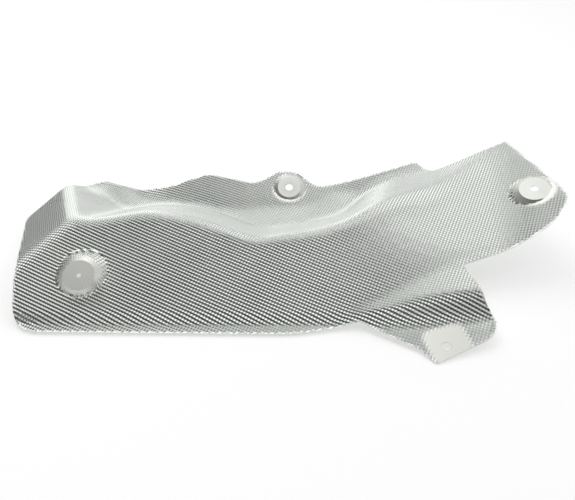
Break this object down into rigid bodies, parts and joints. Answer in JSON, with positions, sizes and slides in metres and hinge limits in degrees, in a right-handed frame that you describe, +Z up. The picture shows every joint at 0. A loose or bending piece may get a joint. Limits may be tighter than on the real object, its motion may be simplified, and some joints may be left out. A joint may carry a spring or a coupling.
{
  "type": "heat shield",
  "caption": "Pressed embossed aluminium heat shield: a ridged panel with a front lip, rear flange, long arm and fixing tab that bolts over a hot exhaust.",
  "frame": {"origin": "on the floor under the middle of the bounding box, the shield lying on its lip, tab and rear valley", "axes": "+X along the length towards the arm, +Y from the front lip to the rear flange, +Z up out of the outer face"},
  "size_m": [0.5908, 0.3156, 0.078],
  "materials": {
    "embossed_aluminium": "fine egg-crate emboss, satin"
  },
  "bodies": {
    "root": {"heat_shield": "embossed_aluminium"}
  },
  "joints": []
}
